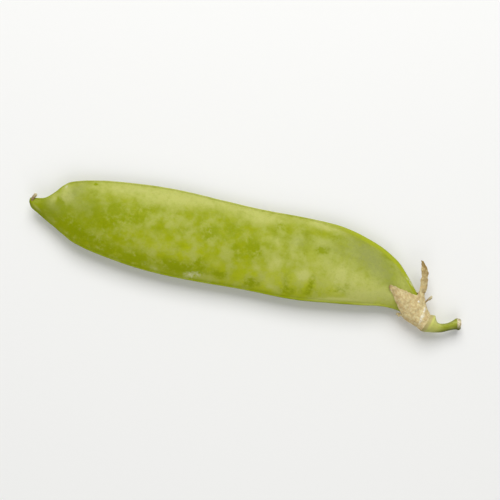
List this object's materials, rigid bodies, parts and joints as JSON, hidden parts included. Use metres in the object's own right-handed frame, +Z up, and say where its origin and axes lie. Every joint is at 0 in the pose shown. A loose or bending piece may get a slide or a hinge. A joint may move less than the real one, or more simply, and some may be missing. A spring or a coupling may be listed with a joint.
{
  "type": "sugar snap pea pod",
  "caption": "Fresh flat-sided green pea pod lying on its side, with a pointed beak, a dry papery calyx with pointed lobes and a short cut stalk.",
  "frame": {"origin": "on the surface that the pod lies on, under the middle of the whole object's box", "axes": "+X along the pod from the beak to the stalk, +Y to the edge with the seed seam, +Z up"},
  "size_m": [0.0958, 0.021, 0.0068],
  "materials": {
    "pod_skin": "satin",
    "stalk_green": "satin",
    "dry_calyx": "matte",
    "dried_thread": "matte"
  },
  "bodies": {
    "root": {"pod": "pod_skin", "style_remnant": "dried_thread", "calyx_cup": "dry_calyx", "sepal_front": "dry_calyx", "sepal_upper_front": "dry_calyx", "sepal_lower": "dry_calyx", "sepal_back": "dry_calyx", "sepal_upper_back": "dry_calyx", "stamen_remnant": "dried_thread", "pedicel": "stalk_green"}
  },
  "joints": []
}
